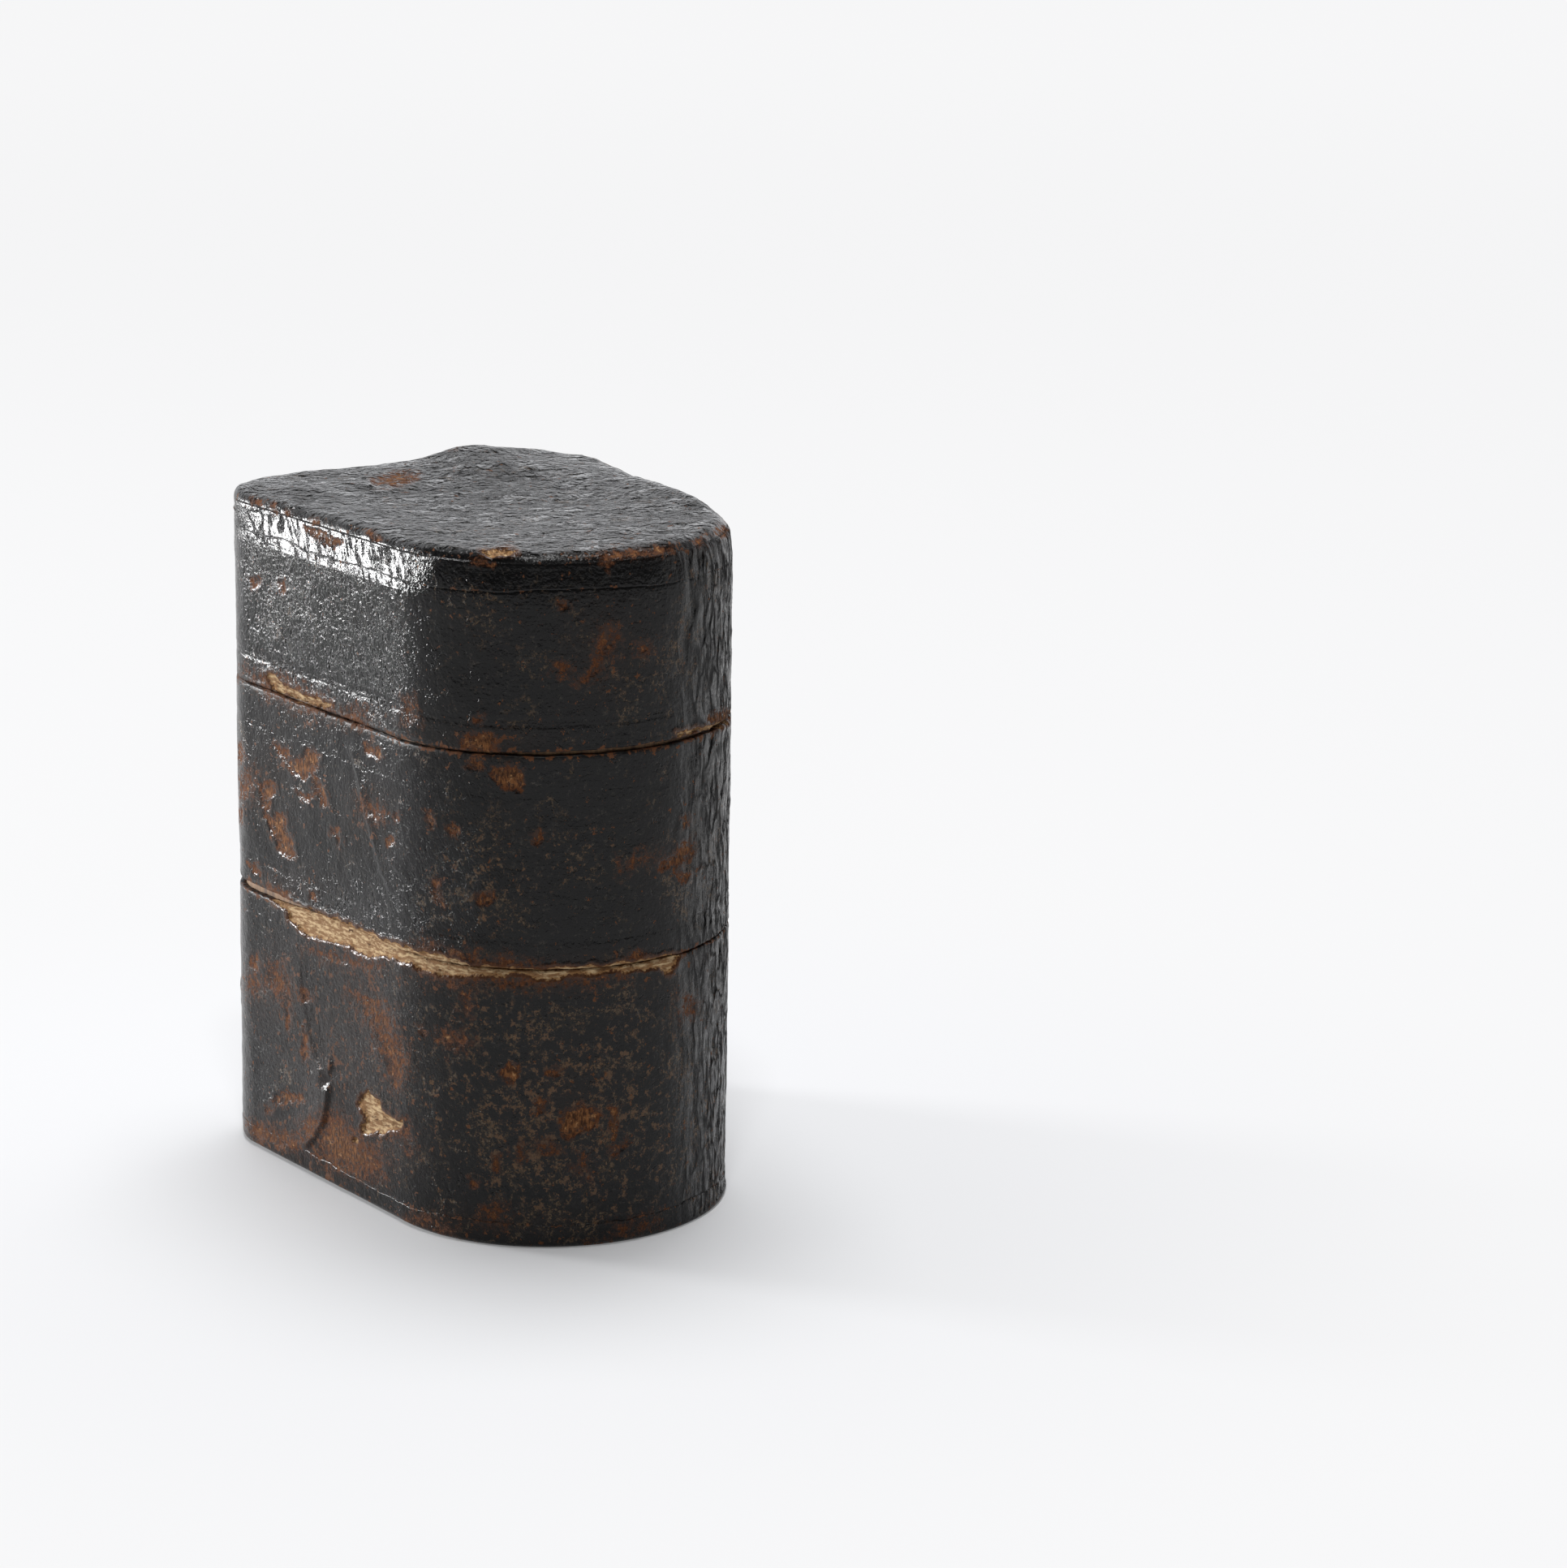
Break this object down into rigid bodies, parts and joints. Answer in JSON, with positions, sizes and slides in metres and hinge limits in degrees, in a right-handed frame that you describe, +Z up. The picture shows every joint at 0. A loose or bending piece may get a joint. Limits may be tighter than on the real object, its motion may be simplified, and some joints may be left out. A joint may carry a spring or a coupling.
{
  "type": "fitted travelling case",
  "caption": "D-shaped leather-covered wooden case in three stacked push-fit sections, with velvet-lined wells and troughs fitted to a small field instrument",
  "frame": {"origin": "centre of the case's bounding box in plan, at the underside it stands on", "axes": "+Z up; the flat end of the D faces -X and the round end faces +X; the outside is mirrored about the plane Y = 0"},
  "size_m": [0.102, 0.079, 0.1315],
  "materials": {
    "leather": "black, cracked and rubbed, satin",
    "wood": "bare",
    "collar_wood": "dark, waxed",
    "velvet": "short faded pile"
  },
  "bodies": {
    "base": {"base_bottom_leather": "leather", "base_side_leather": "leather", "base_wall": "wood", "base_floor": "wood", "base_collar": "collar_wood", "base_block": "wood", "base_top_velvet": "velvet", "foot_well_lining": "velvet", "mirror_well_lining": "velvet", "pot_well_lining": "velvet"},
    "middle": {"middle_side_leather": "leather", "middle_wall": "wood", "middle_under_lining": "velvet", "middle_floor": "wood", "middle_collar": "collar_wood", "middle_block": "wood", "middle_top_velvet": "velvet", "barrel_trough_lining": "velvet", "handle_trough_lining": "velvet"},
    "lid": {"lid_side_leather": "leather", "lid_wall": "wood", "lid_top_board": "wood", "lid_top_leather": "leather", "lid_wall_lining": "velvet", "lid_top_lining": "velvet"}
  },
  "joints": [
    {"name": "middle_slide", "type": "slide", "parent": "base", "child": "middle", "axis": [0, 0, 1], "range_m": [0, 0.06]},
    {"name": "lid_slide", "type": "slide", "parent": "middle", "child": "lid", "axis": [0, 0, 1], "range_m": [0, 0.06]}
  ]
}
